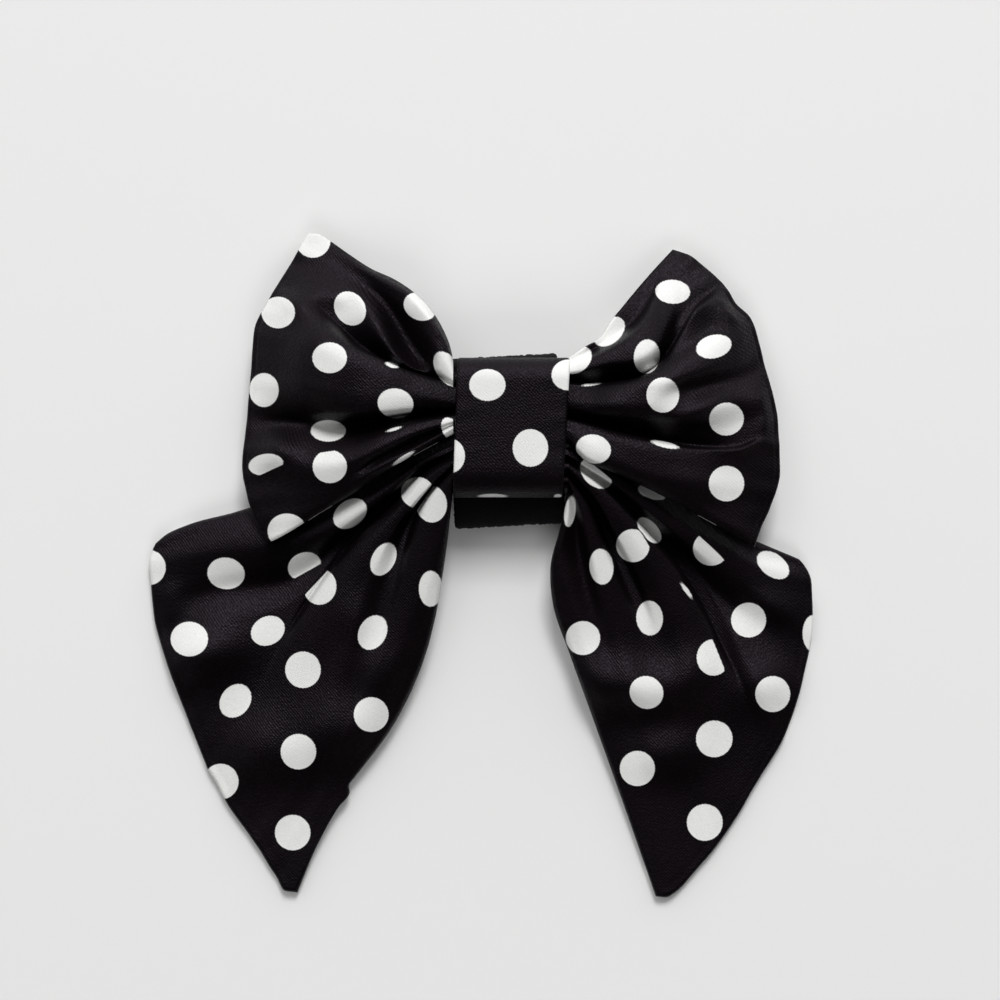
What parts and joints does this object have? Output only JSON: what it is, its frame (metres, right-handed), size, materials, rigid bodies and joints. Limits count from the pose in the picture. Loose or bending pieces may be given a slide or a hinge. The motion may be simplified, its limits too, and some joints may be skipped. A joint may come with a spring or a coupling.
{
  "type": "slide-on pet bow tie",
  "caption": "Polka-dot cloth sailor bow with two loops, two pointed tails and a centre knot, on a hook-and-loop strap that wraps round a pet's collar.",
  "frame": {"origin": "on the flat back of the strap, straight below the middle of the knot", "axes": "+Z out of the front of the bow, +Y towards the tops of the loops, +X towards the right loop as the bow is seen from the front"},
  "size_m": [0.1576, 0.1573, 0.0249],
  "materials": {
    "dotted_sateen": "black sateen with off-white polka dots",
    "strap_tape": "black brushed hook-and-loop tape"
  },
  "bodies": {
    "root": {"bow_body": "dotted_sateen", "tails": "dotted_sateen", "knot_band": "dotted_sateen", "collar_strap": "strap_tape"}
  },
  "joints": []
}
